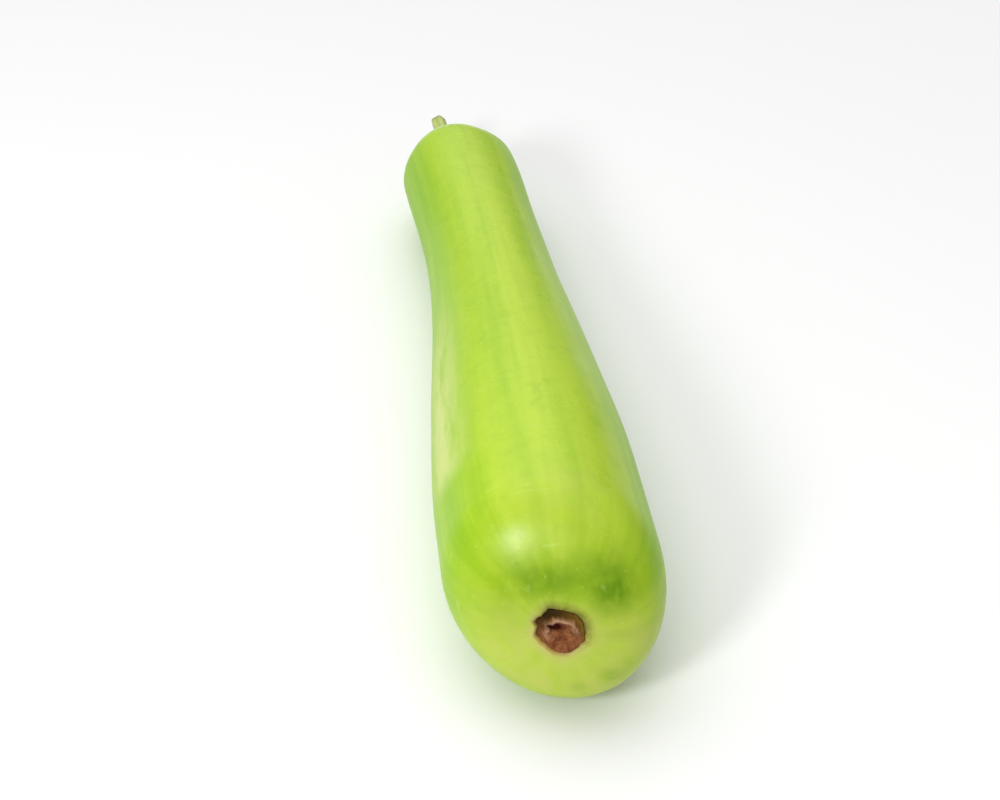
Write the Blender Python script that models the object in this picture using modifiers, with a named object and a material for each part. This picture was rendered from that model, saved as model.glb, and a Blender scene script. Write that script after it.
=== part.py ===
"""A bottle gourd, as picked, lying on its side: the fruit, its cut stem and its dried blossom scar.

Units are metres and +Z is up. The gourd lies along Y, with its blossom end towards -Y and its stem towards +Y,
and it rests on two small flats, one under the bulb and one under the shoulder. The origin is on the surface,
under the middle of the whole gourd.

Each piece starts as a turned shape about the gourd's own axis, with its blossom end at height 0 and its stem at
the top. Formulas then give it relief, bend its neck and slant its blossom end, and it is laid down.
"""

import math

import bmesh
import bpy
from mathutils import Matrix, Vector

# The fruit's outline. Shares are parts of the fruit's length, counted from the blossom end.
FRUIT_LENGTH = 0.388
BULB_RADIUS = 0.0443
NECK_RADIUS = 0.0308
BULB_SHARE = 0.163
NECK_SHARE = 0.777
TAPER_POWER = 1.15
SHOULDER_SWELL = 0.0007
SHOULDER_SHARE = 0.90
SHOULDER_SPREAD = 0.07
BLOSSOM_CAP_LENGTH = 0.0376
BLOSSOM_CAP_POWER = 2.5
STEM_CAP_LENGTH = 0.0296
STEM_CAP_POWER = 2.05

# How the fruit departs from a straight turned shape. Slants are rises along the axis for each metre across.
NECK_BEND = 0.0099
NECK_BEND_FROM = 0.5
BLOSSOM_SLANT_SIDE = -0.263
BLOSSOM_SLANT_DOWN = -0.39
BLOSSOM_SLANT_TO = 0.3

# The hollow round the stem, the lobes round it, and the faint flutes that they leave down the neck.
DIMPLE_DEPTH = 0.0048
DIMPLE_RADIUS = 0.014
LOBES = 5
LOBE_UNEVENNESS = 0.12
CREASE_DEPTH = 0.0024
CREASE_SHARPNESS = 5
CREASE_START = 0.0060
CREASE_GROWTH = 0.0100
CREASE_FADE = 0.0115
FLUTE_DEPTH = 0.0004
FLUTE_FADE = 0.0960

# The pit at the blossom end. It is oval, wide across and low, and its outline is torn. Each torn corner has its
# turn in degrees, counted from the gourd's +X side downwards, and its reach as a share of the oval's.
PIT_HALF_WIDTH = 0.0092
PIT_HALF_HEIGHT = 0.0080
PIT_DEPTH = 0.0030
PIT_WALL = 0.0005
PIT_LIP = 0.0012
PIT_BLEND = 0.0170
PIT_OFFSET = Vector((-0.0016, 0.0, 0.0))
TORN_CORNERS = (
    (-174.0, 0.92),
    (-163.0, 1.07),
    (-140.0, 0.93),
    (-122.0, 0.99),
    (-113.0, 1.08),
    (-96.0, 0.98),
    (-70.0, 1.00),
    (-28.0, 1.09),
    (5.0, 1.07),
    (21.0, 1.14),
    (38.0, 1.00),
    (57.0, 1.02),
    (82.0, 1.08),
    (105.0, 1.04),
    (128.0, 0.93),
    (155.0, 1.02),
)

# The scar in the pit: a corky disc a little below the pit's middle, with a raised ring and a small hollow.
GAP = 0.0003
SCAR_THICKNESS = 0.0010
DISC_RADIUS = 0.0070
DISC_PLACE = Vector((0.0006, 0.0018, 0.0))
DISC_HEIGHT = 0.0007
DISC_EDGE = 0.0018
RING_RADIUS = 0.0059
RING_WIDTH = 0.0013
RING_HEIGHT = 0.0006
KNOB_SPACING = 0.0030
KNOB_SHARE = 0.25
HOLLOW_PLACE = Vector((-0.0019, -0.0010, 0.0))
HOLLOW_HALF_WIDTH = 0.0031
HOLLOW_HALF_HEIGHT = 0.0015
HOLLOW_DEPTH = 0.0009

# The stem, from its flared foot in the hollow to its cut end.
STEM_LENGTH = 0.049
STEM_RADIUS = 0.0036
FOOT_RADIUS = 0.0072
FOOT_LENGTH = 0.0070
CUT_RADIUS = 0.0041
CUT_LENGTH = 0.0100
CUT_SINK = 0.0006
RIDGES = 5
RIDGE_SHARE = 0.10
RIDGE_TWIST = 0.9
STEM_BOW = Vector((0.0012, 0.0012, 0.0))

# How the gourd lies. It is pressed into the surface by this much, which makes the two flats.
REST_PRESS = 0.0012
SETTLE_PASSES = 3

# How finely the pieces are faceted.
FRUIT_STEPS = 60
CAP_RINGS = 15
BODY_RINGS = 22
STEM_STEPS = 30
STEM_RINGS = 18
SCAR_STEPS = 60
SCAR_RINGS = 9
WELD = 0.00001
SHARP_ANGLE = math.radians(50.0)

SKIN_COLOUR = (0.42, 0.66, 0.06, 1.0)
STEM_COLOUR = (0.36, 0.44, 0.13, 1.0)
SCAR_COLOUR = (0.20, 0.075, 0.035, 1.0)


def clamp(value):
    """The value, held between 0 and 1."""
    return min(max(value, 0.0), 1.0)


def smooth(value):
    """A soft step from 0 to 1 as the value goes from 0 to 1."""
    t = clamp(value)
    return t * t * (3.0 - 2.0 * t)


def hump(distance, spread):
    """A bell curve of height 1, that far from its middle."""
    return math.exp(-((distance / spread) ** 2))


def rounded_end(reach, length, power):
    """The share of the full radius at that reach from the tip of a rounded end."""
    return (1.0 - (1.0 - clamp(reach / length)) ** power) ** (1.0 / power)


def fruit_radius(height):
    """The fruit's radius at that height on its axis, with both ends rounded off."""
    share = height / FRUIT_LENGTH
    taper = 0.5 + 0.5 * math.cos(math.pi * clamp((share - BULB_SHARE) / (NECK_SHARE - BULB_SHARE)))
    body = NECK_RADIUS + (BULB_RADIUS - NECK_RADIUS) * taper**TAPER_POWER
    body += SHOULDER_SWELL * hump(share - SHOULDER_SHARE, SHOULDER_SPREAD)
    blossom = rounded_end(height, BLOSSOM_CAP_LENGTH, BLOSSOM_CAP_POWER)
    stem = rounded_end(FRUIT_LENGTH - height, STEM_CAP_LENGTH, STEM_CAP_POWER)
    return body * blossom * stem


def dimple(radius):
    """How deep the hollow round the stem is, that far from the axis."""
    return DIMPLE_DEPTH * hump(radius, DIMPLE_RADIUS)


def end_heights(length, power, count):
    """Heights up a rounded end, close together at its tip, where it turns fastest."""
    turns = [0.5 * math.pi * (step + 1) / count for step in range(count)]
    return [length * (1.0 - math.cos(turn) ** (2.0 / power)) for turn in turns]


def fruit_profile():
    """(radius, height) points of the fruit, from the stem's hollow down to the middle of the blossom pit."""
    points = [(0.0, FRUIT_LENGTH - dimple(0.0))]
    for reach in end_heights(STEM_CAP_LENGTH, STEM_CAP_POWER, CAP_RINGS)[:-1]:
        radius = fruit_radius(FRUIT_LENGTH - reach)
        points.append((radius, FRUIT_LENGTH - reach - dimple(radius)))
    top = FRUIT_LENGTH - STEM_CAP_LENGTH
    for ring in range(BODY_RINGS):
        height = top + (BLOSSOM_CAP_LENGTH - top) * ring / BODY_RINGS
        points.append((fruit_radius(height), height))
    for height in reversed(end_heights(BLOSSOM_CAP_LENGTH, BLOSSOM_CAP_POWER, CAP_RINGS)[1:]):
        points.append((fruit_radius(height), height))
    return points + pit_profile()


def pit_profile():
    """(radius, height) points of the blossom pit, from its soft lip to the middle of its floor."""
    return [
        (PIT_HALF_WIDTH + 1.6 * PIT_LIP, 0.25 * PIT_LIP),
        (PIT_HALF_WIDTH + 0.4 * PIT_LIP, 0.35 * PIT_LIP),
        (PIT_HALF_WIDTH, 0.85 * PIT_LIP),
        (PIT_HALF_WIDTH - PIT_WALL, PIT_DEPTH),
        (0.5 * PIT_HALF_WIDTH, PIT_DEPTH),
        (0.0, PIT_DEPTH),
    ]


def turned_mesh(name, points, steps):
    """A closed turned mesh about Z, from a profile of (radius, height) points that runs top to bottom."""
    profile = bpy.data.meshes.new(name + "_profile")
    edges = [(index, index + 1) for index in range(len(points) - 1)]
    profile.from_pydata([(radius, 0.0, height) for radius, height in points], edges, [])
    holder = bpy.data.objects.new(name + "_profile", profile)
    bpy.context.scene.collection.objects.link(holder)
    screw = holder.modifiers.new("turn", "SCREW")
    screw.steps = steps
    screw.render_steps = steps
    screw.use_merge_vertices = True
    screw.merge_threshold = WELD
    screw.use_smooth_shade = True
    graph = bpy.context.evaluated_depsgraph_get()
    turned = bpy.data.meshes.new_from_object(holder.evaluated_get(graph))
    turned.name = name
    bpy.data.objects.remove(holder)
    bpy.data.meshes.remove(profile)
    return turned


def shape(mesh, steps):
    """Moves every point of a mesh through the given functions, one after the other."""
    shaped = bmesh.new()
    shaped.from_mesh(mesh)
    for step in steps:
        shaped.normal_update()
        moved = [step(vert.co.copy(), vert.normal.copy()) for vert in shaped.verts]
        for vert, place in zip(shaped.verts, moved):
            vert.co = place
    shaped.normal_update()
    shaped.to_mesh(mesh)
    shaped.free()


def lobe_relief(point, normal):
    """Creases between lobes round the stem's hollow, and faint flutes that follow them down the neck."""
    radius = math.hypot(point.x, point.y)
    reach = FRUIT_LENGTH - point.z
    turn = math.atan2(point.y, point.x)
    wave = math.cos(LOBES * (turn + LOBE_UNEVENNESS * math.sin(2.0 * turn + 1.0)))
    near = smooth((radius - CREASE_START) / CREASE_GROWTH) * hump(reach, CREASE_FADE)
    crease = CREASE_DEPTH * near * (0.5 + 0.5 * wave) ** CREASE_SHARPNESS
    flute = FLUTE_DEPTH * smooth(radius / NECK_RADIUS) * hump(reach, FLUTE_FADE) * wave
    return point - normal * (crease + flute)


def torn_edge(turn):
    """How far the pit's and the scar's outline stands out at that turn, as a share of their size."""
    degrees = math.degrees(turn)
    ahead = next((place for place, corner in enumerate(TORN_CORNERS) if corner[0] >= degrees), 0)
    (to_turn, to_reach), (from_turn, from_reach) = TORN_CORNERS[ahead], TORN_CORNERS[ahead - 1]
    way = ((degrees - from_turn) % 360.0) / ((to_turn - from_turn) % 360.0)
    return from_reach + (to_reach - from_reach) * way - 1.0


def shape_pit(point, normal):
    """Makes the pit and what is in it oval and torn, and leaves the rest of the fruit as it is."""
    if point.z > BLOSSOM_CAP_LENGTH:
        return point
    near = 1.0 - smooth((math.hypot(point.x, point.y) - PIT_HALF_WIDTH) / PIT_BLEND)
    low = 1.0 - (1.0 - PIT_HALF_HEIGHT / PIT_HALF_WIDTH) * near
    edge = 1.0 + torn_edge(math.atan2(point.y, point.x)) * near**3
    return Vector((point.x * edge, point.y * edge * low, point.z)) + PIT_OFFSET * near


def scar_profile():
    """(radius, height) points of the scar before its relief, from its back to its face."""
    width = PIT_HALF_WIDTH - PIT_WALL - GAP
    back = PIT_DEPTH - GAP
    face = back - SCAR_THICKNESS
    points = [(0.0, back), (0.5 * width, back), (0.94 * width, back)]
    points += [(width * (SCAR_RINGS - ring) / SCAR_RINGS, face) for ring in range(SCAR_RINGS)]
    return points + [(0.0, face)]


def scar_relief(point, normal):
    """Raises the corky disc and its ring on the scar's face, and sinks the small hollow in it."""
    if normal.z > -0.5:
        return point
    across = math.hypot(point.x - DISC_PLACE.x, point.y - DISC_PLACE.y)
    disc = 1.0 - smooth((across - DISC_RADIUS) / DISC_EDGE + 0.5)
    wave = 2.0 * math.pi / KNOB_SPACING
    knobs = KNOB_SHARE * math.sin(wave * point.x) * math.sin(wave * point.y)
    ring = RING_HEIGHT * hump(across - RING_RADIUS, RING_WIDTH) * (1.0 + knobs)
    inside = point - HOLLOW_PLACE
    hollow = HOLLOW_DEPTH * hump(math.hypot(inside.x / HOLLOW_HALF_WIDTH, inside.y / HOLLOW_HALF_HEIGHT), 1.0)
    return point - Vector((0.0, 0.0, disc * (DISC_HEIGHT + ring - hollow)))


def foot_height(radius):
    """Where the stem's underside is, that far from the axis, counted from the fruit's tip."""
    share = (1.0 - (radius / NECK_RADIUS) ** STEM_CAP_POWER) ** (1.0 / STEM_CAP_POWER)
    return GAP - STEM_CAP_LENGTH * (1.0 - share) - dimple(radius)


def stem_profile():
    """(radius, height) points of the stem, from the middle of its cut end down to the middle of its foot."""
    length = STEM_LENGTH - CUT_SINK
    base = FRUIT_LENGTH + foot_height(FOOT_RADIUS)
    points = [(0.0, base + length - CUT_SINK), (0.6 * CUT_RADIUS, base + length - 0.7 * CUT_SINK)]
    for ring in range(STEM_RINGS + 1):
        up = length * (STEM_RINGS - ring) / STEM_RINGS
        foot = (FOOT_RADIUS - STEM_RADIUS) * hump(up, FOOT_LENGTH)
        cut = (CUT_RADIUS - STEM_RADIUS) * hump(length - up, CUT_LENGTH)
        points.append((STEM_RADIUS + foot + cut, base + up))
    for share in (0.66, 0.33, 0.0):
        points.append((share * FOOT_RADIUS, FRUIT_LENGTH + foot_height(share * FOOT_RADIUS)))
    return points


def stem_ridges(point, normal):
    """Soft ridges up the stem that turn a little round it and fade towards its cut end."""
    up = clamp((point.z - FRUIT_LENGTH) / STEM_LENGTH)
    turn = math.atan2(point.y, point.x)
    swell = 1.0 + RIDGE_SHARE * (1.0 - 0.4 * up) * math.cos(RIDGES * turn + RIDGE_TWIST * up)
    return Vector((point.x * swell, point.y * swell, point.z))


def stem_bow(point, normal):
    """Bows the stem to one side and a little down, more and more towards its cut end."""
    up = clamp((point.z - FRUIT_LENGTH) / STEM_LENGTH)
    return point + STEM_BOW * up * up


def grow(point, normal):
    """Slants the blossom end and bends the neck to one side, as the fruit grew."""
    share = point.z / FRUIT_LENGTH
    end = clamp(1.0 - share / BLOSSOM_SLANT_TO) ** 2
    neck = max(share - NECK_BEND_FROM, 0.0) / (1.0 - NECK_BEND_FROM)
    rise = (BLOSSOM_SLANT_SIDE * point.x + BLOSSOM_SLANT_DOWN * point.y) * end
    return Vector((point.x - NECK_BEND * neck * neck, point.y, point.z + rise))


def move(meshes, matrix):
    """Moves the pieces together."""
    for mesh in meshes:
        mesh.transform(matrix)


def lowest(mesh, side):
    """The lowest point of a lying mesh on one side of the gourd's middle: -1 is the bulb, 1 the shoulder."""
    half = [vert.co for vert in mesh.vertices if side * (vert.co.y - 0.5 * FRUIT_LENGTH) > 0.0]
    return min(half, key=lambda place: place.z).copy()


def lay_down(meshes, fruit):
    """Lays the gourd along Y, tips it until bulb and shoulder are level, and sets it on the surface."""
    move(meshes, Matrix.Rotation(-0.5 * math.pi, 4, "X"))
    for _ in range(SETTLE_PASSES):
        bulb, shoulder = lowest(fruit, -1), lowest(fruit, 1)
        tip = math.atan2(bulb.z - shoulder.z, shoulder.y - bulb.y)
        move(meshes, Matrix.Rotation(tip, 4, "X"))
    places = [vert.co for mesh in meshes for vert in mesh.vertices]
    middle = [0.5 * (min(p[side] for p in places) + max(p[side] for p in places)) for side in (0, 1)]
    floor = lowest(fruit, -1).z + REST_PRESS
    move(meshes, Matrix.Translation((-middle[0], -middle[1], -floor)))
    press_flat(fruit)


def press_flat(mesh):
    """Lifts what would be under the surface up to it, which leaves the flats that the gourd rests on."""
    for vert in mesh.vertices:
        vert.co.z = max(vert.co.z, 0.0)


def material(name, colour, roughness):
    """A Principled material of one colour."""
    made = bpy.data.materials.new(name)
    made.use_nodes = True
    shader = made.node_tree.nodes["Principled BSDF"]
    shader.inputs["Base Color"].default_value = colour
    shader.inputs["Roughness"].default_value = roughness
    shader.inputs["Metallic"].default_value = 0.0
    made.diffuse_color = colour
    return made


def add_piece(collection, mesh, finish):
    """Puts a finished mesh in the collection as an object of the same name."""
    piece = bpy.data.objects.new(mesh.name, mesh)
    mesh.materials.append(finish)
    mesh.shade_smooth()
    mesh.set_sharp_from_angle(angle=SHARP_ANGLE)
    collection.objects.link(piece)


def clear_scene():
    """Removes every object of the scene."""
    for leftover in list(bpy.data.objects):
        bpy.data.objects.remove(leftover)


def main():
    """Builds the gourd's three pieces."""
    clear_scene()
    fruit = turned_mesh("fruit", fruit_profile(), FRUIT_STEPS)
    shape(fruit, [lobe_relief, shape_pit, grow])
    stem = turned_mesh("stem", stem_profile(), STEM_STEPS)
    shape(stem, [stem_ridges, stem_bow, grow])
    scar = turned_mesh("blossom_scar", scar_profile(), SCAR_STEPS)
    shape(scar, [scar_relief, shape_pit, grow])
    lay_down([fruit, stem, scar], fruit)

    gourd = bpy.data.collections.new("bottle_gourd")
    bpy.context.scene.collection.children.link(gourd)
    add_piece(gourd, fruit, material("gourd_skin", SKIN_COLOUR, 0.38))
    add_piece(gourd, stem, material("stem_bark", STEM_COLOUR, 0.6))
    add_piece(gourd, scar, material("dry_cork", SCAR_COLOUR, 0.85))


main()
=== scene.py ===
"""The looks of a bottle gourd that lies on its side: its waxy skin, its cut stalk and its dry blossom scar.

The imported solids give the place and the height. The fruit, the stalk and the scar are built again here with a
much finer surface, from the same growth law, and each stands for its solid. Lengths are in metres and +Z is up.
A piece is first turned about Z, with the blossom end at height 0 and the stalk at the top, then given its
relief, bent as the fruit grew, and laid down where the solid lies.
"""

import logging
import math
from collections.abc import Callable
from dataclasses import dataclass, field
from enum import Enum

import bmesh
import bpy
from mathutils import Matrix, Vector, noise


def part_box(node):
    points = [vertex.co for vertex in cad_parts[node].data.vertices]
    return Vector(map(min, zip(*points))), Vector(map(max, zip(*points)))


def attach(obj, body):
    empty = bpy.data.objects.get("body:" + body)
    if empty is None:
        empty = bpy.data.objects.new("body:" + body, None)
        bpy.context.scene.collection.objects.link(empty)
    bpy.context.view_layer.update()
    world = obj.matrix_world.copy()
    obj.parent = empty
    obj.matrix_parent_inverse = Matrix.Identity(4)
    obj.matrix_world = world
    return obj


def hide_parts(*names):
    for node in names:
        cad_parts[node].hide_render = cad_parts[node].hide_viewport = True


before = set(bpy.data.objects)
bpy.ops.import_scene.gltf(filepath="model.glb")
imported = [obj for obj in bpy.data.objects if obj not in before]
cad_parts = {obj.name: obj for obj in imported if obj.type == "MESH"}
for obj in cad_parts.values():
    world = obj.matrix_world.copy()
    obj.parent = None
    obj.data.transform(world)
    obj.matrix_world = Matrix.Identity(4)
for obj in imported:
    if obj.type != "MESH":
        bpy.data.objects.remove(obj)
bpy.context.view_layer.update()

LOG = logging.getLogger("bottle_gourd")
WELD = 1e-6

Shaper = Callable[[Vector, Vector], Vector]


class Zone(Enum):
    """What a mesh carries for its finish: two sets of coordinates, and shares of what grows where and of painted
    light and shade.
    """

    STRAIGHT = "straight"
    AROUND = "around"
    DEEP_AND_SHADE = "deep_green_and_shade"
    PALE_BOUNCE_AND_SHEEN = "pale_end"
    HALO = "halo"
    SIDE_SHADE = "painted_side_shade"
    FLANK_REFLECTION = "painted_flank_reflection"
    CREASE = "crease"
    RIM = "pit_rim"
    WALL = "pit_wall"
    MARGIN = "scar_margin"
    SHADE = "scar_shade"
    RING_HIGHLIGHT = "scar_ring_highlight"
    HOLLOW_SHADE = "scar_hollow_shade"
    CUT = "cut_end"


def clamp(value: float) -> float:
    """Holds a value between 0 and 1."""
    return min(max(value, 0.0), 1.0)


def smooth(value: float) -> float:
    """Gives a soft step from 0 to 1 as the value goes from 0 to 1."""
    t = clamp(value)
    return t * t * (3.0 - 2.0 * t)


def hump(distance: float, spread: float) -> float:
    """Gives a bell curve of height 1, that far from its middle."""
    return math.exp(-((distance / spread) ** 2))


def linear(code: str) -> tuple[float, float, float, float]:
    """Turns an sRGB hex colour into the linear colour that a shader takes.

    Args:
        code: Six hex digits, red first.

    Returns:
        Linear red, green and blue, and an alpha of 1.
    """
    shares = [int(code[place:place + 2], 16) / 255.0 for place in (0, 2, 4)]
    red, green, blue = [s / 12.92 if s <= 0.04045 else ((s + 0.055) / 1.055) ** 2.4 for s in shares]
    return red, green, blue, 1.0


def add_node(tree: bpy.types.NodeTree, kind: str, inputs: dict | None = None, **settings) -> bpy.types.Node:
    """Adds one node with its settings, and fills or links its inputs.

    Args:
        tree: The node tree that the node goes in.
        kind: Blender's name for the node's type.
        inputs: A value or an output socket for each input, by the input's name or number.
        settings: A value for each of the node's own properties.

    Returns:
        The new node.
    """
    node = tree.nodes.new(kind)
    for name, value in settings.items():
        setattr(node, name, value)
    for key, value in (inputs or {}).items():
        if isinstance(value, bpy.types.NodeSocket):
            tree.links.new(value, node.inputs[key])
        else:
            node.inputs[key].default_value = value
    return node


@dataclass(frozen=True)
class Pattern:
    """A noise on the mesh's own coordinates, and the range of it that shows.

    On straight coordinates a cell's size is in metres. On those that go round the axis its width is a share of
    the radius, and its length a share of the fruit's.
    """

    size: tuple[float, float, float]
    start: float
    full: float
    share: float = 1.0
    zone: Zone = Zone.STRAIGHT
    detail: float = 2.0
    roughness: float = 0.5

    def add(self, tree: bpy.types.NodeTree) -> bpy.types.NodeSocket:
        """Adds the nodes that draw the pattern.

        Args:
            tree: The material's node tree.

        Returns:
            How much of the pattern shows.
        """
        place = add_node(tree, "ShaderNodeAttribute", attribute_name=self.zone.value)
        inputs = {0: place.outputs["Vector"], 1: self.size}
        cells = add_node(tree, "ShaderNodeVectorMath", inputs, operation="DIVIDE")
        inputs = {"Vector": cells.outputs[0], "Scale": 1.0, "Detail": self.detail, "Roughness": self.roughness}
        cloud = add_node(tree, "ShaderNodeTexNoise", inputs)
        inputs = {0: cloud.outputs[0], 1: self.start, 2: self.full, 3: 0.0, 4: self.share}
        return add_node(tree, "ShaderNodeMapRange", inputs, clamp=True).outputs[0]


@dataclass(frozen=True)
class Dots:
    """Small round dots, one in each cell, some of them almost gone. The radii are shares of their spacing."""

    spacing: float
    inner: float
    outer: float
    share: float

    def add(self, tree: bpy.types.NodeTree) -> bpy.types.NodeSocket:
        """Adds the nodes that draw the dots.

        Args:
            tree: The material's node tree.

        Returns:
            How much of the dots shows.
        """
        place = add_node(tree, "ShaderNodeAttribute", attribute_name=Zone.STRAIGHT.value)
        inputs = {"Vector": place.outputs["Vector"], "Scale": 1.0 / self.spacing}
        cells = add_node(tree, "ShaderNodeTexVoronoi", inputs)
        inputs = {0: cells.outputs["Distance"], 1: self.inner, 2: self.outer, 3: self.share, 4: 0.0}
        dot = add_node(tree, "ShaderNodeMapRange", inputs, clamp=True)
        kept = add_node(tree, "ShaderNodeMapRange", {0: cells.outputs["Color"], 1: 0.35, 2: 0.8}, clamp=True)
        inputs = {0: dot.outputs[0], 1: kept.outputs[0]}
        return add_node(tree, "ShaderNodeMath", inputs, operation="MULTIPLY").outputs[0]


@dataclass(frozen=True)
class Cover:
    """Where a layer shows: a pattern, a zone of the mesh, or the two together."""

    pattern: Pattern | Dots | None = None
    zone: Zone | None = None

    def add(self, tree: bpy.types.NodeTree) -> bpy.types.NodeSocket:
        """Adds the nodes that say how much of a layer shows.

        Args:
            tree: The material's node tree.

        Returns:
            The layer's share.
        """
        if self.zone is None:
            return self.pattern.add(tree)
        grown = add_node(tree, "ShaderNodeAttribute", attribute_name=self.zone.value)
        if self.pattern is None:
            return grown.outputs["Fac"]
        inputs = {0: grown.outputs["Fac"], 1: self.pattern.add(tree)}
        return add_node(tree, "ShaderNodeMath", inputs, operation="MULTIPLY").outputs[0]


@dataclass(frozen=True)
class Coat:
    """One colour that lies over those below it."""

    colour: str
    cover: Cover


@dataclass(frozen=True)
class Wear:
    """A place where the surface is rougher or smoother than elsewhere."""

    roughness: float
    cover: Cover


@dataclass(frozen=True)
class Finish:
    """A surface: its base colour and the coats over it, its gloss, its fine relief and the light inside it."""

    name: str
    base: str
    coats: tuple[Coat, ...]
    roughness: float
    ior: float
    grain: Pattern
    grain_depth: float
    wear: tuple[Wear, ...] = ()
    depth: float = 0.0
    glow: tuple[float, float, float] = (1.0, 1.0, 1.0)

    def material(self) -> bpy.types.Material:
        """Builds the material.

        Returns:
            The material, on one Principled shader.
        """
        material = bpy.data.materials.new(self.name)
        material.use_nodes = True
        tree = material.node_tree
        colour, roughness = linear(self.base), self.roughness
        for coat in self.coats:
            inputs = {0: coat.cover.add(tree), 6: colour, 7: linear(coat.colour)}
            colour = add_node(tree, "ShaderNodeMix", inputs, data_type="RGBA").outputs[2]
        for wear in self.wear:
            inputs = {0: wear.cover.add(tree), 2: roughness, 3: wear.roughness}
            roughness = add_node(tree, "ShaderNodeMix", inputs).outputs[0]
        inputs = {"Strength": 1.0, "Height": self.grain.add(tree), "Distance": self.grain_depth}
        bump = add_node(tree, "ShaderNodeBump", inputs)
        sockets = {"Base Color": colour, "Roughness": roughness, "IOR": self.ior, "Normal": bump.outputs["Normal"]}
        sockets |= {"Subsurface Weight": self.depth, "Subsurface Radius": self.glow, "Subsurface Scale": 1.0}
        shader = add_node(tree, "ShaderNodeBsdfPrincipled", sockets)
        tree.links.new(shader.outputs[0], tree.nodes["Material Output"].inputs["Surface"])
        tree.nodes.remove(tree.nodes["Principled BSDF"])
        return material


# Wax over pale flesh: broad soft highlights, edges that turn white at a low angle, and a faint glow from inside.
# Real pores are under 0.1 mm, too fine to show, so they are drawn 0.9 mm wide.
@dataclass(frozen=True)
class SkinFinish(Finish):
    """Living gourd skin: a thin waxy cuticle, banded and streaked along the fruit, with fine pale specks."""

    name: str = "gourd_skin_waxy_cuticle"
    base: str = "A8CD1C"
    coats: tuple[Coat, ...] = (
        Coat("BCDA34", Cover(Pattern((0.31, 0.31, 0.77), 0.38, 0.64, 0.9, Zone.AROUND))),
        Coat("94BF14", Cover(Pattern((0.09, 0.09, 0.29), 0.48, 0.72, 0.35, Zone.AROUND, 3.0))),
        Coat("BCDA34", Cover(Pattern((0.008, 0.008, 0.008), 0.50, 0.72, 0.4, detail=4.0, roughness=0.6))),
        Coat("94BF14", Cover(Pattern((0.008, 0.008, 0.008), 0.46, 0.28, 0.4, detail=4.0, roughness=0.6))),
        # Painted shade: a fuller, darker green on the sides and underside, away from the lit top.
        Coat("88BC0A", Cover(Pattern((0.16, 0.16, 0.40), 0.10, 0.60, 1.0, Zone.AROUND, 3.0), Zone.SIDE_SHADE)),
        # Pale end: partly the skin's own paler tone, partly painted bounce light from below, and a painted sheen
        # on top.
        Coat("C0CE56", Cover(Pattern((0.009, 0.009, 0.009), 0.10, 0.62, detail=4.0), Zone.PALE_BOUNCE_AND_SHEEN)),
        # Painted reflection of the bright surroundings: a pale mottled strip along one side.
        Coat(
            "D6DF8C",
            Cover(Pattern((0.20, 0.20, 0.10), 0.22, 0.56, 1.0, Zone.AROUND, 4.0, 0.65), Zone.FLANK_REFLECTION),
        ),
        # Deep green patches over the scar: partly the skin's own colour, partly painted shade of the dark band
        # there.
        Coat("6C960C", Cover(Pattern((0.005, 0.005, 0.005), -0.30, 0.60, detail=4.0), Zone.DEEP_AND_SHADE)),
        Coat("C9B87C", Cover(Pattern((0.16, 0.16, 0.29), 0.20, 0.60, 1.0, Zone.AROUND, 3.0), Zone.HALO)),
        Coat("B48A44", Cover(zone=Zone.WALL)),
        Coat("625C12", Cover(Pattern((0.0022, 0.0022, 0.0022), -0.20, 0.50), Zone.RIM)),
        Coat("CFE67A", Cover(Dots(0.0028, 0.08, 0.22, 0.30))),
        Coat("D6EC86", Cover(Pattern((0.40, 0.40, 0.004), 0.70, 0.85, 0.35, Zone.AROUND, 1.0))),
        Coat("4A7A08", Cover(zone=Zone.CREASE)),
    )
    roughness: float = 0.24
    wear: tuple[Wear, ...] = (
        Wear(0.33, Cover(Pattern((0.022, 0.022, 0.022), 0.35, 0.65, detail=4.0, roughness=0.6))),
        Wear(0.44, Cover(zone=Zone.SIDE_SHADE)),
        Wear(0.50, Cover(zone=Zone.FLANK_REFLECTION)),
        Wear(0.40, Cover(zone=Zone.PALE_BOUNCE_AND_SHEEN)),
    )
    ior: float = 1.36
    grain: Pattern = Pattern((0.0009, 0.0009, 0.0009), 0.0, 1.0)
    grain_depth: float = 0.00003
    depth: float = 0.10
    glow: tuple[float, float, float] = (0.0040, 0.0050, 0.0008)


# Dry, ribbed fibres with no wax on them: matt, a dull olive with pale ribs and painted shade in the grooves, and
# grey-brown where it was cut.
@dataclass(frozen=True)
class StalkFinish(Finish):
    """Fibrous gourd stalk, green and matt, and drier towards its cut."""

    name: str = "gourd_stalk_fibre"
    base: str = "BCCD66"
    coats: tuple[Coat, ...] = (
        Coat("CBD888", Cover(Pattern((0.14, 0.14, 0.40), 0.4, 0.7, 0.8, Zone.AROUND, 3.0))),
        # Painted shade in the grooves.
        Coat("8B9C44", Cover(zone=Zone.CREASE)),
        Coat("8C9152", Cover(zone=Zone.CUT)),
    )
    roughness: float = 0.55
    ior: float = 1.45
    grain: Pattern = Pattern((0.14, 0.14, 0.40), 0.0, 1.0, 1.0, Zone.AROUND, 3.0)
    grain_depth: float = 0.0004
    depth: float = 0.05
    glow: tuple[float, float, float] = (0.0030, 0.0030, 0.0010)


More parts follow.
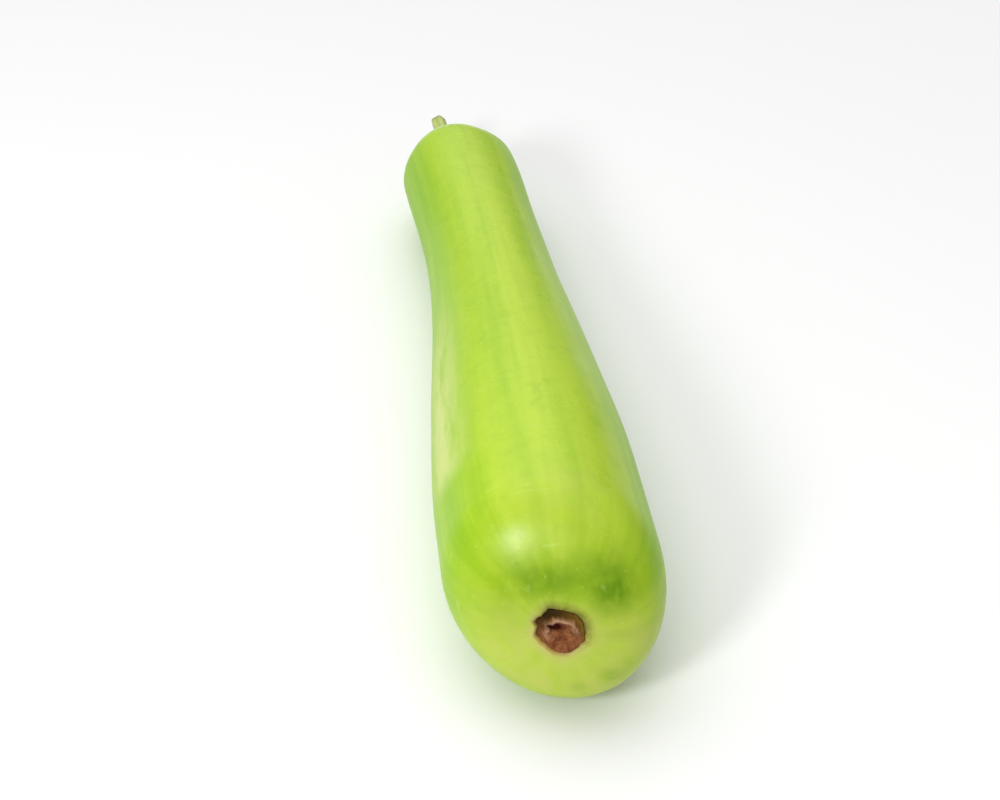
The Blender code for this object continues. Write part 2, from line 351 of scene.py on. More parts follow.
# Dead cork: a crumbly brown whose open cells trap the light, so that it has next to no gloss, hence the low IOR.
# Its real grain is about 0.2 mm and would not show, so it is drawn 0.7 mm wide.
@dataclass(frozen=True)
class CorkFinish(Finish):
    """Dry scar tissue: brown cork with a torn margin that painted shade makes almost black over the disc."""

    name: str = "gourd_scar_dry_cork"
    base: str = "945C3A"
    coats: tuple[Coat, ...] = (
        Coat("6A361A", Cover(Pattern((0.0024, 0.0024, 0.0024), 0.45, 0.65, 0.8, detail=3.0, roughness=0.6))),
        Coat("BC8650", Cover(Pattern((0.0024, 0.0024, 0.0024), 0.42, 0.25, 0.5, detail=3.0, roughness=0.6))),
        # Painted highlight: pale tan on the upper side of the raised ring, where it catches the light.
        Coat("C49C78", Cover(zone=Zone.RING_HIGHLIGHT)),
        # Painted shade in the small hollow.
        Coat("3A0E04", Cover(zone=Zone.HOLLOW_SHADE)),
        Coat("76581A", Cover(zone=Zone.MARGIN)),
        # Painted shadow of the pit's upper edge, over the disc and to its left.
        Coat("32240A", Cover(zone=Zone.SHADE)),
        Coat("33200C", Cover(Pattern((0.0007, 0.0007, 0.0007), 0.45, 0.25, 0.6, detail=3.0, roughness=0.6))),
    )
    roughness: float = 0.85
    ior: float = 1.20
    grain: Pattern = Pattern((0.0007, 0.0007, 0.0007), 0.0, 1.0, detail=3.0, roughness=0.6)
    grain_depth: float = 0.0005


# Matt white paper, which gives an even pale ground and soft shadows.
@dataclass(frozen=True)
class PaperFinish(Finish):
    """Plain studio paper, pressed smooth and uncoated."""

    name: str = "studio_paper_matt"
    base: str = "FBFBFB"
    coats: tuple[Coat, ...] = ()
    roughness: float = 0.90
    ior: float = 1.45
    grain: Pattern = Pattern((0.002, 0.002, 0.002), 0.0, 1.0)
    grain_depth: float = 0.00002


@dataclass(frozen=True)
class Growth:
    """The law that the fruit grew by. Shares are parts of its length, counted from the blossom end."""

    length: float = 0.388
    bulb_radius: float = 0.0443
    neck_radius: float = 0.0308
    bulb_share: float = 0.163
    neck_share: float = 0.777
    taper_power: float = 1.15
    shoulder_swell: float = 0.0007
    shoulder_share: float = 0.90
    shoulder_spread: float = 0.07
    blossom_cap: float = 0.0376
    blossom_power: float = 2.5
    stem_cap: float = 0.0296
    stem_power: float = 2.05
    neck_bend: float = 0.0099
    neck_bend_from: float = 0.5
    slant_side: float = -0.263
    slant_down: float = -0.39
    slant_to: float = 0.3
    dimple_depth: float = 0.0048
    dimple_radius: float = 0.014

    def rounded(self, reach: float, length: float, power: float) -> float:
        """Gives the share of the full radius at that reach from the tip of a rounded end."""
        return (1.0 - (1.0 - clamp(reach / length)) ** power) ** (1.0 / power)

    def radius(self, height: float) -> float:
        """Gives the fruit's radius, with both of its ends rounded off.

        Args:
            height: Where on the axis, from the blossom end.

        Returns:
            The radius there.
        """
        share = height / self.length
        way = clamp((share - self.bulb_share) / (self.neck_share - self.bulb_share))
        taper = (0.5 + 0.5 * math.cos(math.pi * way)) ** self.taper_power
        body = self.neck_radius + (self.bulb_radius - self.neck_radius) * taper
        body += self.shoulder_swell * hump(share - self.shoulder_share, self.shoulder_spread)
        blossom = self.rounded(height, self.blossom_cap, self.blossom_power)
        return body * blossom * self.rounded(self.length - height, self.stem_cap, self.stem_power)

    def dimple(self, radius: float) -> float:
        """Gives the depth of the hollow round the stalk, that far from the axis."""
        return self.dimple_depth * hump(radius, self.dimple_radius)

    def grow(self, point: Vector, normal: Vector) -> Vector:
        """Slants the blossom end and bends the neck to one side.

        Args:
            point: A point of the straight turned shape.
            normal: Its normal, which this step doesn't need.

        Returns:
            The point on the grown gourd.
        """
        share = point.z / self.length
        end = clamp(1.0 - share / self.slant_to) ** 2
        neck = max(share - self.neck_bend_from, 0.0) / (1.0 - self.neck_bend_from)
        rise = (self.slant_side * point.x + self.slant_down * point.y) * end
        return Vector((point.x - self.neck_bend * neck * neck, point.y, point.z + rise))


@dataclass
class Turned:
    """A closed mesh turned about Z, with the straight coordinates that its finish follows."""

    profile: list[tuple[float, float]]
    steps: int
    growth: Growth
    work: bmesh.types.BMesh = field(init=False)

    def __post_init__(self) -> None:
        """Spins the profile once round, closes its poles and stores its coordinates."""
        self.work = bmesh.new()
        spots = [self.work.verts.new((radius, 0.0, height)) for radius, height in self.profile]
        edges = [self.work.edges.new(pair) for pair in zip(spots, spots[1:])]
        bmesh.ops.spin(
            self.work,
            geom=spots + edges,
            cent=(0.0, 0.0, 0.0),
            axis=(0.0, 0.0, 1.0),
            dvec=(0.0, 0.0, 0.0),
            angle=2.0 * math.pi,
            steps=self.steps,
            use_merge=True,
        )
        bmesh.ops.remove_doubles(self.work, verts=self.work.verts, dist=WELD)
        bmesh.ops.recalc_face_normals(self.work, faces=self.work.faces)
        straight = self.work.verts.layers.float_vector.new(Zone.STRAIGHT.value)
        around = self.work.verts.layers.float_vector.new(Zone.AROUND.value)
        for vert in self.work.verts:
            side = Vector((vert.co.x, vert.co.y, 0.0)).normalized()
            vert[straight] = vert.co
            vert[around] = side + Vector((0.0, 0.0, vert.co.z / self.growth.length))

    def mark(self, zone: Zone, value: Callable[[Vector], float], reach: float = math.inf) -> None:
        """Stores a share for each point, worked out from its straight place.

        Args:
            zone: Where the share is kept.
            value: Gives the share at a place.
            reach: The height up to which it counts. Above it the share is 0.
        """
        straight = self.work.verts.layers.float_vector[Zone.STRAIGHT.value]
        layer = self.work.verts.layers.float.new(zone.value)
        for vert in self.work.verts:
            place = Vector(vert[straight])
            vert[layer] = clamp(value(place)) if place.z <= reach else 0.0

    def shape(self, steps: list[Shaper]) -> None:
        """Moves every point.

        Args:
            steps: The functions that move a point, in order. Each gets the point and its normal.
        """
        for step in steps:
            self.work.normal_update()
            moved = [step(vert.co.copy(), vert.normal.copy()) for vert in self.work.verts]
            for vert, place in zip(self.work.verts, moved):
                vert.co = place

    def lay(self, matrix: Matrix, floor: float = -math.inf) -> None:
        """Lays the mesh down.

        Args:
            matrix: How it lies.
            floor: The height at which it is pressed flat.
        """
        bmesh.ops.transform(self.work, matrix=matrix, verts=self.work.verts)
        for vert in self.work.verts:
            vert.co.z = max(vert.co.z, floor)

    def piece(self, name: str, node: str, slot: str, material: bpy.types.Material) -> bpy.types.Object:
        """Makes the finished object, which stands for a solid of the frame.

        Args:
            name: The new piece's name.
            node: The solid that it stands for.
            slot: The record's material slot. It is not used.
            material: Its finish.

        Returns:
            The object, riding on the gourd's body.
        """
        mesh = bpy.data.meshes.new(name)
        self.work.normal_update()
        self.work.to_mesh(mesh)
        self.work.free()
        mesh.shade_smooth()
        mesh.materials.append(material)
        piece = bpy.data.objects.new(name, mesh)
        bpy.context.scene.collection.objects.link(piece)
        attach(piece, "root")
        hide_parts(node)
        return piece


@dataclass
class Lie:
    """How the gourd lies: tipped until bulb and shoulder are level, and then set where its solid is."""

    growth: Growth
    passes: int = 3
    matrix: Matrix = field(init=False)

    def __post_init__(self) -> None:
        """Finds the lie from a plain turned fruit, cut into rings 1 mm apart."""
        plain = [self.ring_low(0.001 * step) for step in range(1, int(1000.0 * self.growth.length))]
        turn = Matrix.Rotation(-0.5 * math.pi, 4, "X")
        for _ in range(self.passes):
            places = [turn @ place for place in plain]
            half = 0.5 * self.growth.length
            bulb = min((p for p in places if p.y < half), key=lambda p: p.z)
            shoulder = min((p for p in places if p.y > half), key=lambda p: p.z)
            tip = math.atan2(bulb.z - shoulder.z, shoulder.y - bulb.y)
            turn = Matrix.Rotation(tip, 4, "X") @ turn
        self.matrix = turn

    def ring_low(self, height: float) -> Vector:
        """Gives the point of the fruit that is lowest once it lies, at that height on its axis."""
        return self.growth.grow(Vector((0.0, self.growth.radius(height), height)), Vector())

    def settle(self, fruit: Turned) -> None:
        """Moves the lie so that this fruit fills its solid's box.

        Args:
            fruit: The shaped fruit, not yet laid down.
        """
        low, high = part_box("fruit")
        places = [self.matrix @ vert.co for vert in fruit.work.verts]
        shift = Vector((
            0.5 * (low.x + high.x - min(p.x for p in places) - max(p.x for p in places)),
            0.5 * (low.y + high.y - min(p.y for p in places) - max(p.y for p in places)),
            high.z - max(p.z for p in places),
        ))
        self.matrix = Matrix.Translation(shift) @ self.matrix


@dataclass(frozen=True)
class Pit:
    """The oval, torn pit at the blossom end, which the fruit and the scar share.

    A corner is a turn in degrees, from the gourd's +X side downwards, and a reach as a share of the oval's.
    """

    half_width: float = 0.0092
    half_height: float = 0.0080
    depth: float = 0.0030
    wall: float = 0.0005
    lip: float = 0.0012
    blend: float = 0.0170
    reach: float = 0.0376
    offset: tuple[float, float] = (-0.0016, 0.0)
    fray: float = 0.05
    fray_turns: float = 3.5
    corners: tuple[tuple[float, float], ...] = (
        (-174.0, 0.92),
        (-163.0, 1.07),
        (-140.0, 0.93),
        (-122.0, 0.99),
        (-113.0, 1.08),
        (-96.0, 0.98),
        (-70.0, 1.00),
        (-28.0, 1.09),
        (5.0, 1.07),
        (21.0, 1.14),
        (38.0, 1.00),
        (57.0, 1.02),
        (82.0, 1.08),
        (105.0, 1.04),
        (128.0, 0.93),
        (155.0, 1.02),
    )

    def torn(self, turn: float) -> float:
        """Gives how far the outline stands out from the plain oval.

        Args:
            turn: Where on the outline, in radians.

        Returns:
            The step out, as a share of the pit's size.
        """
        degrees = math.degrees(turn)
        ahead = next((place for place, corner in enumerate(self.corners) if corner[0] >= degrees), 0)
        (to_turn, to_reach), (from_turn, from_reach) = self.corners[ahead], self.corners[ahead - 1]
        way = ((degrees - from_turn) % 360.0) / ((to_turn - from_turn) % 360.0)
        ragged = noise.noise(Vector((math.cos(turn), math.sin(turn), 1.0)) * self.fray_turns)
        return from_reach + (to_reach - from_reach) * way - 1.0 + self.fray * ragged

    def shape(self, point: Vector, normal: Vector) -> Vector:
        """Makes the pit and what is in it oval and torn, and leaves the rest of the fruit as it is.

        Args:
            point: A point of the straight turned shape.
            normal: Its normal, which this step doesn't need.

        Returns:
            The point on the oval pit.
        """
        if point.z > self.reach:
            return point
        near = 1.0 - smooth((point.xy.length - self.half_width) / self.blend)
        low = 1.0 - (1.0 - self.half_height / self.half_width) * near
        edge = 1.0 + self.torn(math.atan2(point.y, point.x)) * near**3
        return Vector((point.x * edge, point.y * edge * low, point.z)) + Vector((*self.offset, 0.0)) * near


@dataclass(frozen=True)
class Patch:
    """A deep green patch on the blossom end, partly the skin's own colour and partly painted shade: its place
    across the axis, its size and how strong it is.
    """

    place: tuple[float, float]
    spread: tuple[float, float]
    share: float

    def strength(self, point: Vector) -> float:
        """Gives how strong the patch is at a point."""
        away = point.xy - Vector(self.place)
        return self.share * hump(math.hypot(away.x / self.spread[0], away.y / self.spread[1]), 1.0)


@dataclass
class Fruit:
    """The fruit: one smooth waxy body with a lobed stem end and a pit at its blossom end."""

    growth: Growth
    pit: Pit
    finish: SkinFinish
    steps: int = 240
    cap_rings: int = 48
    body_rings: int = 96
    lip_rings: int = 14
    wall_rings: int = 6
    lobes: int = 5
    unevenness: float = 0.12
    crease_depth: float = 0.0026
    crease_sharpness: int = 8
    crease_start: float = 0.0060
    crease_growth: float = 0.0100
    crease_fade: float = 0.0115
    flute_depth: float = 0.0004
    flute_fade: float = 0.0960
    dent_depth: float = 0.0004
    dent_size: float = 0.050
    pale_share: float = 0.95
    pale_place: tuple[float, float] = (0.0040, 0.0130)
    pale_squash: float = 0.64
    pale_radius: float = 0.0130
    pale_fade: float = 0.0240
    pale_end: float = 0.028
    # A painted sheen on top, behind the blossom end.
    sheen_share: float = 0.45
    sheen_place: tuple[float, float] = (0.0020, 0.0220)
    sheen_spread: tuple[float, float] = (0.0220, 0.0200)
    # The painted reflection strip along one side.
    flank_share: float = 0.76
    flank_turn: float = -152.0
    flank_spread: float = 17.0
    flank_low: float = 0.058
    flank_rise: float = 0.018
    flank_high: float = 0.130
    flank_fade: float = 0.110
    halo_share: float = 0.80
    halo_spread: float = 0.0034
    halo_turn: float = 2.7
    rim_share: float = 0.95
    rim_width: float = 0.0032
    rim_turn: float = -1.2
    wall_share: float = 0.90
    wall_width: float = 0.0020
    wall_turn: float = 2.5
    # Painted shade on the sides, away from the lit top.
    side_shade_share: float = 0.80
    side_shade_start: float = 27.0
    side_shade_run: float = 35.0
    side_shade_low: float = 0.004
    side_shade_rise: float = 0.018
    side_shade_neck: float = 0.25
    side_shade_neck_from: float = 0.250
    side_shade_neck_run: float = 0.060
    crease_shade: float = 0.75
    hollow_shade: float = 0.50
    hollow_radius: float = 0.009
    # Deep green patches, partly the skin's own colour and partly painted shade.
    patches: tuple[Patch, ...] = (
        Patch((-0.0090, -0.0178), (0.0110, 0.0066), 0.74),
        Patch((0.0198, -0.0145), (0.0096, 0.0076), 1.0),
        Patch((0.0168, -0.0240), (0.0095, 0.0065), 0.50),
        Patch((0.0040, -0.0205), (0.0105, 0.0060), 0.50),
        Patch((-0.0220, -0.0070), (0.0110, 0.0120), 0.28),
        Patch((0.0182, 0.0185), (0.0050, 0.0042), 0.42),
        Patch((0.0054, 0.0240), (0.0040, 0.0024), 0.30),
        Patch((0.0200, 0.0008), (0.0090, 0.0030), 0.16),
    )

    def profile(self) -> list[tuple[float, float]]:
        """Draws the half outline that is turned.

        Returns:
            (radius, height) pairs, from the stalk's hollow down to the middle of the pit.
        """
        law = self.growth
        points = [(0.0, law.length - law.dimple(0.0))]
        for reach in self.end_heights(law.stem_cap, law.stem_power)[:-1]:
            radius = law.radius(law.length - reach)
            points.append((radius, law.length - reach - law.dimple(radius)))
        top = law.length - law.stem_cap
        for ring in range(self.body_rings):
            height = top + (law.blossom_cap - top) * ring / self.body_rings
            points.append((law.radius(height), height))
        inner = self.pit.half_width + 2.4 * self.pit.lip
        for height in reversed(self.end_heights(law.blossom_cap, law.blossom_power)):
            if law.radius(height) > inner:
                points.append((law.radius(height), height))
        return points + self.pit_profile()

    def end_heights(self, length: float, power: float) -> list[float]:
        """Lists heights up a rounded end, close together at its tip, where it turns fastest."""
        turns = [0.5 * math.pi * (step + 1) / self.cap_rings for step in range(self.cap_rings)]
        return [length * (1.0 - math.cos(turn) ** (2.0 / power)) for turn in turns]

    def pit_profile(self) -> list[tuple[float, float]]:
        """Draws the pit's part of the outline: a soft swollen lip, a steep wall and a flat floor.

        Returns:
            (radius, height) pairs, from outside the lip to the middle.
        """
        pit = self.pit
        points = []
        for step in range(self.lip_rings):
            out = 1.0 - step / self.lip_rings
            radius = pit.half_width + 2.2 * pit.lip * out
            swell = 0.25 * pit.lip * hump(out - 0.45, 0.30)
            points.append((radius, 0.28 * pit.lip - swell + 0.55 * pit.lip * (1.0 - out) ** 3))
        for step in range(1, self.wall_rings + 1):
            down = step / self.wall_rings
            height = 0.85 * pit.lip + (pit.depth - 0.85 * pit.lip) * down
            points.append((pit.half_width - pit.wall * down, height))
        return points + [(pit.half_width * share, pit.depth) for share in (0.75, 0.5, 0.25, 0.0)]

    def lobe_wave(self, point: Vector) -> float:
        """Gives 1 in a crease between two lobes and -1 on top of a lobe."""
        turn = math.atan2(point.y, point.x)
        return math.cos(self.lobes * (turn + self.unevenness * math.sin(2.0 * turn + 1.0)))

    def crease(self, point: Vector) -> float:
        """Gives how deep in a crease a point is.

        Args:
            point: A point of the straight turned shape.

        Returns:
            1 at the bottom of a crease, and 0 on the lobes.
        """
        near = smooth((point.xy.length - self.crease_start) / self.crease_growth)
        near *= hump(self.growth.length - point.z, self.crease_fade)
        return near * (0.5 + 0.5 * self.lobe_wave(point)) ** self.crease_sharpness

    def relief(self, point: Vector, normal: Vector) -> Vector:
        """Sinks the creases and flutes, and dents the body very slightly.

        Args:
            point: A point of the straight turned shape.
            normal: Its normal.

        Returns:
            The point, sunk along its normal.
        """
        reach = self.growth.length - point.z
        flute = smooth(point.xy.length / self.growth.neck_radius) * hump(reach, self.flute_fade)
        sink = self.crease_depth * self.crease(point) + self.flute_depth * flute * self.lobe_wave(point)
        calm = smooth((point.z - 0.004) / 0.03) * smooth((reach - 0.004) / 0.02)
        dent = self.dent_depth * calm * noise.noise(point / self.dent_size)
        return point - normal * (sink + dent)

    def deep(self, point: Vector) -> float:
        """Gives the deep green patches, most of them over the scar: partly the skin's own colour, partly painted
        shade.
        """
        return sum(patch.strength(point) for patch in self.patches)

    def pale(self, point: Vector) -> float:
        """Gives the pale blossom end, wider than it is high, partly the skin's own tone and partly painted bounce
        light, and a fainter painted sheen on top behind it.

        Args:
            point: A point of the straight turned shape.

        Returns:
            How pale it is there.
        """
        reach = math.hypot(self.pale_squash * (point.x - self.pale_place[0]), point.y - self.pale_place[1])
        end = 1.0 - smooth((reach - self.pale_radius) / self.pale_fade)
        end *= 1.0 - smooth(point.z / self.pale_end - 1.0)
        sheen = hump(point.x - self.sheen_place[0], self.sheen_spread[0]) * float(point.y < 0.0)
        sheen *= hump(point.z - self.sheen_place[1], self.sheen_spread[1])
        return max(self.pale_share * end, self.sheen_share * sheen)

    def side_shade(self, point: Vector) -> float:
        """Gives the painted shade of the sides, a fuller green away from the lit top, fullest by the stalk, and
        none on top or at the blossom end.

        Args:
            point: A point of the straight turned shape.

        Returns:
            How full the green is there.
        """
        away = abs((math.degrees(math.atan2(point.y, point.x)) + 270.0) % 360.0 - 180.0)
        grown = smooth((point.z - self.side_shade_low) / self.side_shade_rise)
        grown += self.side_shade_neck * smooth((point.z - self.side_shade_neck_from) / self.side_shade_neck_run)
        return self.side_shade_share * grown * smooth((away - self.side_shade_start) / self.side_shade_run)

    def flank_reflection(self, point: Vector) -> float:
        """Gives the painted reflection of the bright surroundings, a pale mottled strip along one side.

        Args:
            point: A point of the straight turned shape.

        Returns:
            How pale it is there.
        """
        turn = (math.degrees(math.atan2(point.y, point.x)) - self.flank_turn + 180.0) % 360.0 - 180.0
        along = smooth((point.z - self.flank_low) / self.flank_rise)
        along *= 1.0 - smooth((point.z - self.flank_high) / self.flank_fade)
        return self.flank_share * along * hump(turn, self.flank_spread)

    def halo(self, point: Vector) -> float:
        """Gives the bleached ring round the pit, strongest to the left and below."""
        side = 0.65 + 0.35 * math.cos(math.atan2(point.y, point.x) - self.halo_turn)
        return self.halo_share * side * hump(point.xy.length - self.pit.half_width, self.halo_spread)

    def rim(self, point: Vector) -> float:
        """Gives the dead olive edge of the pit, widest and strongest above the scar.

        Args:
            point: A point of the straight turned shape.

        Returns:
            How olive it is there.
        """
        side = clamp(0.5 + 0.6 * math.cos(math.atan2(point.y, point.x) - self.rim_turn))
        width = self.rim_width * (0.5 + side)
        return self.rim_share * side * (1.0 - smooth((point.xy.length - self.pit.half_width) / width))

    def wall(self, point: Vector) -> float:
        """Gives the tan corky skin on the pit's edge and wall, strongest down on its left."""
        side = 0.6 + 0.4 * math.cos(math.atan2(point.y, point.x) - self.wall_turn)
        return self.wall_share * side * (1.0 - smooth((point.xy.length - self.pit.half_width) / self.wall_width))

    def hollow(self, point: Vector) -> float:
        """Gives the shade of the creases and of the hollow round the stalk."""
        near = hump(point.xy.length, self.hollow_radius) * float(point.z > 0.5 * self.growth.length)
        return self.crease_shade * self.crease(point) + self.hollow_shade * near

    def build(self, lie: Lie) -> bpy.types.Object:
        """Builds and dresses the fruit, and settles the lie of the whole gourd.

        Args:
            lie: How the gourd lies. It is moved to where this fruit fills its solid's box.

        Returns:
            The finished piece.
        """
        body = Turned(self.profile(), self.steps, self.growth)
        end_zones = {Zone.DEEP_AND_SHADE: self.deep, Zone.HALO: self.halo, Zone.WALL: self.wall, Zone.RIM: self.rim}
        for zone, value in end_zones.items():
            body.mark(zone, value, self.growth.blossom_cap)
        body.mark(Zone.PALE_BOUNCE_AND_SHEEN, self.pale)
        body.mark(Zone.SIDE_SHADE, self.side_shade)
        body.mark(Zone.FLANK_REFLECTION, self.flank_reflection)
        body.mark(Zone.CREASE, self.hollow)
        body.shape([self.relief, self.pit.shape, self.growth.grow])
        lie.settle(body)
        body.lay(lie.matrix, floor=0.0)
        return body.piece("gourd_fruit", "fruit", "skin", self.finish.material())


@dataclass
class BlossomScar:
    """The dry brown scar in the pit: a corky disc with a raised ring, a small hollow and a torn dark margin,
    blacker above from painted shade.
    """

    growth: Growth
    pit: Pit
    finish: CorkFinish
    gap: float = 0.0002
    thickness: float = 0.0010
    disc_radius: float = 0.0070
    disc_place: tuple[float, float] = (0.0006, 0.0018)
    disc_height: float = 0.0007
    disc_edge: float = 0.0018
    ring_radius: float = 0.0059
    ring_width: float = 0.0013
    ring_height: float = 0.0006
    hollow_place: tuple[float, float] = (-0.0019, -0.0010)
    hollow_half_width: float = 0.0031
    hollow_half_height: float = 0.0015
    hollow_depth: float = 0.0010
    # Strength of the painted shade in the hollow.
    hollow_shade_strength: float = 1.8
    highlight_turn: float = -1.9
    shade_turn: float = -2.1
    bare_turn: float = 2.2
    shade_share: float = 0.95
    grain_size: float = 0.0009
    knob_size: float = 0.0024
    tear_size: float = 0.0016
    raggedness: float = 0.0010
    grain_height: float = 0.0004
    margin_height: float = 0.0011
    margin_width: float = 0.0011
    margin_lean: float = 0.055
    face_down: float = -0.5
    steps: int = 160
    rings: int = 44

    @property
    def width(self) -> float:
        """The scar's radius, which leaves a small gap to the wall of the pit."""
        return self.pit.half_width - self.pit.wall - self.gap

    def profile(self) -> list[tuple[float, float]]:
        """Draws the half outline of the flat scar.

        Returns:
            (radius, height) pairs, from its back to the middle of its face.
        """
        back = self.pit.depth - self.gap
        face = back - self.thickness
        points = [(0.0, back), (0.5 * self.width, back), (0.94 * self.width, back)]
        points += [(self.width * (self.rings - ring) / self.rings, face) for ring in range(self.rings)]
        return points + [(0.0, face)]

    def across(self, point: Vector, size: float) -> float:
        """Gives how far a point is from the disc's middle, made uneven by a noise of that size."""
        ragged = self.raggedness * noise.noise(point / size)
        return (point.xy - Vector(self.disc_place)).length + ragged

    def disc(self, point: Vector) -> float:
        """Gives 1 on the corky disc and 0 on the dark floor round it."""
        return 1.0 - smooth((self.across(point, self.tear_size) - self.disc_radius) / self.disc_edge + 0.5)

    def margin(self, point: Vector) -> float:
        """Gives the dark floor round the disc, which is bare cork down on its left."""
        side = clamp(0.6 - 0.6 * math.cos(math.atan2(point.y, point.x) - self.bare_turn))
        return side * (1.0 - self.disc(point))

    def shade(self, point: Vector) -> float:
        """Gives where the floor round the disc is painted black with shade, which is over the disc and to its
        left.
        """
        side = clamp(1.1 * math.cos(math.atan2(point.y, point.x) - self.shade_turn) - 0.1)
        return self.shade_share * side * (1.0 - self.disc(point))

    def ring(self, point: Vector) -> float:
        """Gives 1 on top of the raised ring."""
        return hump(self.across(point, self.knob_size) - self.ring_radius, self.ring_width)

    def ring_highlight(self, point: Vector) -> float:
        """Gives the painted highlight on the ring, which is mostly on its upper side.

        Args:
            point: A point of the flat scar.

        Returns:
            How strong the painted highlight is there.
        """
        away = point.xy - Vector(self.disc_place)
        turn = math.atan2(away.y, away.x)
        return 0.95 * self.ring(point) * clamp(0.35 + 0.75 * math.cos(turn - self.highlight_turn))

    def hollow(self, point: Vector) -> float:
        """Gives 1 in the middle of the small hollow."""
        inside = point.xy - Vector(self.hollow_place)
        return hump(math.hypot(inside.x / self.hollow_half_width, inside.y / self.hollow_half_height), 1.0)

    def painted_hollow_shade(self, point: Vector) -> float:
        """Gives the painted shade in the hollow, which is even over most of it."""
        return self.hollow_shade_strength * self.hollow(point)

    def relief(self, point: Vector, normal: Vector) -> Vector:
        """Raises the disc, the ring, the grain and the torn margin on the scar's face.

        Args:
            point: A point of the flat scar.
            normal: Its normal.

        Returns:
            The point, raised if it is on the face.
        """
        if normal.z > self.face_down:
            return point
        grain = self.grain_height * (noise.noise(point / self.grain_size) + noise.noise(point / self.knob_size))
        ring = self.ring_height * self.ring(point) * (1.0 + noise.noise(point / self.tear_size))
        disc = self.disc(point) * (self.disc_height + ring - self.hollow_depth * self.hollow(point) + grain)
        shreds = 0.6 + 0.8 * noise.noise(point / self.tear_size)
        edge = smooth(1.0 - (self.width - point.xy.length) / self.margin_width)
        lean = 1.0 + self.margin_lean * edge
        return Vector((point.x * lean, point.y * lean, point.z - disc - self.margin_height * shreds * edge))

    def build(self, lie: Lie) -> bpy.types.Object:
        """Builds and dresses the scar.

        Args:
            lie: How the gourd lies.

        Returns:
            The finished piece.
        """
        scar = Turned(self.profile(), self.steps, self.growth)
        scar.mark(Zone.MARGIN, self.margin)
        scar.mark(Zone.SHADE, self.shade)
        scar.mark(Zone.RING_HIGHLIGHT, self.ring_highlight)
        scar.mark(Zone.HOLLOW_SHADE, self.painted_hollow_shade)
        scar.shape([self.relief, self.pit.shape, self.growth.grow])
        scar.lay(lie.matrix)
        return scar.piece("gourd_blossom_scar", "blossom_scar", "scar", self.finish.material())


@dataclass
class Stalk:
    """The cut stalk: a ridged stem on a flared foot in the hollow of the shoulder."""

    growth: Growth
    finish: StalkFinish
    length: float = 0.049
    radius: float = 0.0036
    foot_radius: float = 0.0072
    foot_length: float = 0.0070
    cut_radius: float = 0.0041
    cut_length: float = 0.0100
    cut_sink: float = 0.0006
    ridges: int = 5
    ridge_share: float = 0.10
    ridge_twist: float = 0.9
    ridge_fade: float = 0.4
    groove_shade: float = 0.45
    cut_shade: float = 0.75
    cut_start: float = 0.80
    cut_run: float = 0.12
    bow: tuple[float, float] = (0.0012, 0.0012)
    gap: float = 0.0003
    steps: int = 90
    rings: int = 80

    def foot_height(self, radius: float) -> float:
        """Gives where the stalk's underside is, that far from the axis.

        Args:
            radius: The distance from the axis.

        Returns:
            The height over the fruit's tip.
        """
        law = self.growth
        share = (1.0 - (radius / law.neck_radius) ** law.stem_power) ** (1.0 / law.stem_power)
        return self.gap - law.stem_cap * (1.0 - share) - law.dimple(radius)

    def profile(self) -> list[tuple[float, float]]:
        """Draws the half outline that is turned.

        Returns:
            (radius, height) pairs, from the middle of the cut end down to the middle of the foot.
        """
        length = self.length - self.cut_sink
        base = self.growth.length + self.foot_height(self.foot_radius)
        points = []
        for share in (0.0, 0.3, 0.6, 0.85):
            points.append((self.cut_radius * share, base + length - self.cut_sink * (1.0 - share**2)))
        for ring in range(self.rings + 1):
            up = length * (self.rings - ring) / self.rings
            foot = (self.foot_radius - self.radius) * hump(up, self.foot_length)
            cut = (self.cut_radius - self.radius) * hump(length - up, self.cut_length)
            points.append((self.radius + foot + cut, base + up))
        for share in (0.75, 0.5, 0.25, 0.0):
            radius = share * self.foot_radius
            points.append((radius, self.growth.length + self.foot_height(radius)))
        return points

    def up(self, point: Vector) -> float:
        """Gives how far up the stalk a point is, from 0 to 1."""
        return clamp((point.z - self.growth.length) / self.length)

    def ridge_wave(self, point: Vector) -> float:
        """Gives 1 on top of a ridge and -1 in a groove."""
        return math.cos(self.ridges * math.atan2(point.y, point.x) + self.ridge_twist * self.up(point))

    def ribbed(self, point: Vector, normal: Vector) -> Vector:
        """Raises the ridges, which fade towards the cut end, and roughens the stalk a little.

        Args:
            point: A point of the plain turned stalk.
            normal: Its normal, which this step doesn't need.

        Returns:
            The point on the ribbed stalk.
        """
        swell = 1.0 + self.ridge_share * (1.0 - self.ridge_fade * self.up(point)) * self.ridge_wave(point)
        swell += 0.02 * noise.noise(Vector((point.x / 0.002, point.y / 0.002, point.z / 0.012)))
        return Vector((point.x * swell, point.y * swell, point.z))

    def bowed(self, point: Vector, normal: Vector) -> Vector:
        """Bows the stalk to one side and a little down."""
        return point + Vector((*self.bow, 0.0)) * self.up(point) ** 2

    def groove(self, point: Vector) -> float:
        """Gives the painted shade in a groove, deepest at its bottom."""
        return self.groove_shade * (0.5 - 0.5 * self.ridge_wave(point)) ** 2

    def cut(self, point: Vector) -> float:
        """Gives how near the dry cut end a point is."""
        return self.cut_shade * smooth((self.up(point) - self.cut_start) / self.cut_run)

    def build(self, lie: Lie) -> bpy.types.Object:
        """Builds and dresses the stalk.

        Args:
            lie: How the gourd lies.

        Returns:
            The finished piece.
        """
        stalk = Turned(self.profile(), self.steps, self.growth)
        stalk.mark(Zone.CREASE, self.groove)
        stalk.mark(Zone.CUT, self.cut)
        stalk.shape([self.ribbed, self.bowed, self.growth.grow])
        stalk.lay(lie.matrix)
        return stalk.piece("gourd_stem", "stem", "stem", self.finish.material())


